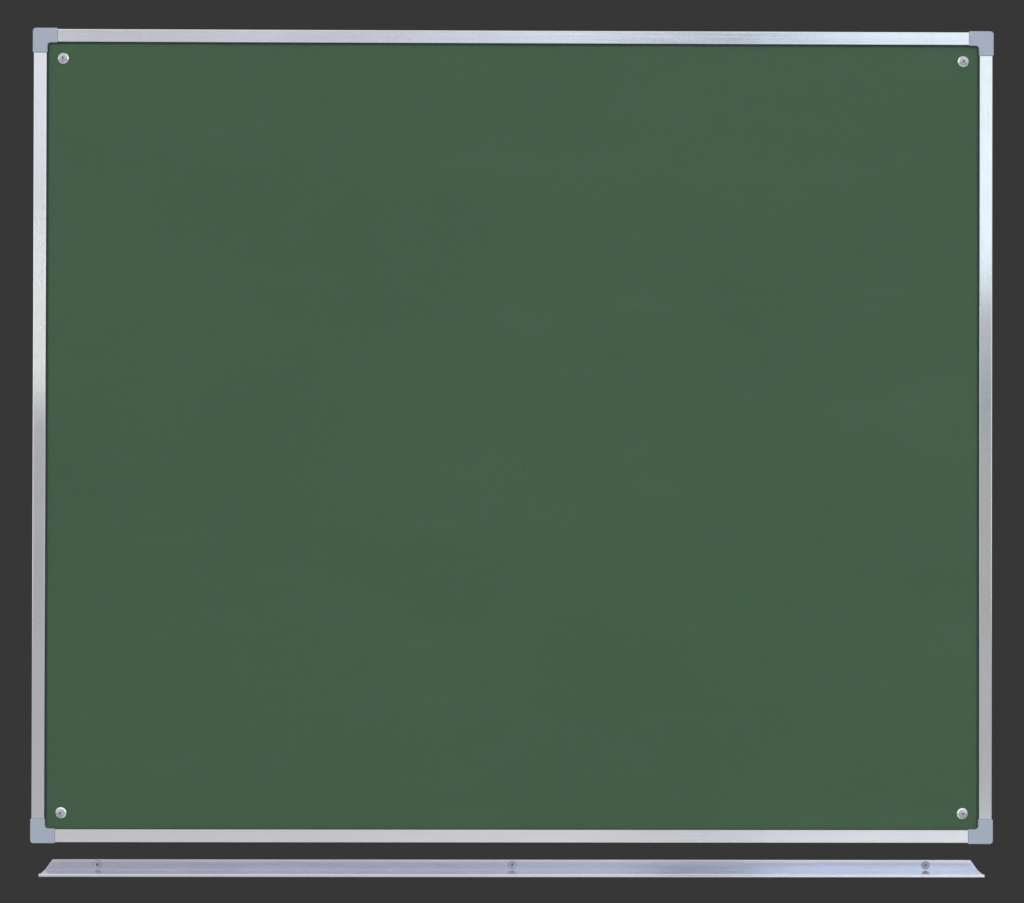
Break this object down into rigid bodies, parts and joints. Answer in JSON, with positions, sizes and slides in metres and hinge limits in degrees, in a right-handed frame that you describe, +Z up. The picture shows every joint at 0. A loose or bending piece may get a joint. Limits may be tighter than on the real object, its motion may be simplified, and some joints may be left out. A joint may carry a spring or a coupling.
{
  "type": "wall-mounted ceramic chalkboard",
  "caption": "Green enamelled-steel chalkboard in a slim aluminium frame with plastic corner caps, with a separate screw-on chalk tray below.",
  "frame": {"origin": "centre of the framed board's outline, on the wall plane that its corner caps rest against", "axes": "+X to the right and +Z up for a person who faces the board, +Y into the wall; the writing surface faces -Y"},
  "size_m": [1.2024, 0.073, 1.0553],
  "materials": {
    "enamel": "matt green vitreous enamel on steel",
    "core": "fibreboard, unfinished",
    "galvanised": "galvanised, faint spangle",
    "frame_aluminium": "satin anodised extrusion",
    "tray_aluminium": "anodised extrusion, slightly shiny",
    "cap_plastic": "moulded blue-grey plastic, fine texture",
    "nickel": "nickel-plated",
    "zinc": "zinc-plated"
  },
  "bodies": {
    "root": {"writing_sheet": "enamel", "core_board": "core", "back_sheet": "galvanised", "frame_top": "frame_aluminium", "frame_right": "frame_aluminium", "frame_bottom": "frame_aluminium", "frame_left": "frame_aluminium", "corner_cap_top_right": "cap_plastic", "corner_cap_bottom_right": "cap_plastic", "corner_cap_bottom_left": "cap_plastic", "corner_cap_top_left": "cap_plastic", "cap_screw_top_right_a": "zinc", "cap_screw_top_right_b": "zinc", "cap_screw_bottom_right_a": "zinc", "cap_screw_bottom_right_b": "zinc", "cap_screw_bottom_left_a": "zinc", "cap_screw_bottom_left_b": "zinc", "cap_screw_top_left_a": "zinc", "cap_screw_top_left_b": "zinc", "cup_washer_top_left": "nickel", "cup_washer_top_right": "nickel", "cup_washer_bottom_left": "nickel", "cup_washer_bottom_right": "nickel", "wall_screw_top_left": "nickel", "wall_screw_top_right": "nickel", "wall_screw_bottom_left": "nickel", "wall_screw_bottom_right": "nickel", "chalk_tray": "tray_aluminium", "tray_screw_left": "nickel", "tray_screw_centre": "nickel", "tray_screw_right": "nickel"}
  },
  "joints": []
}
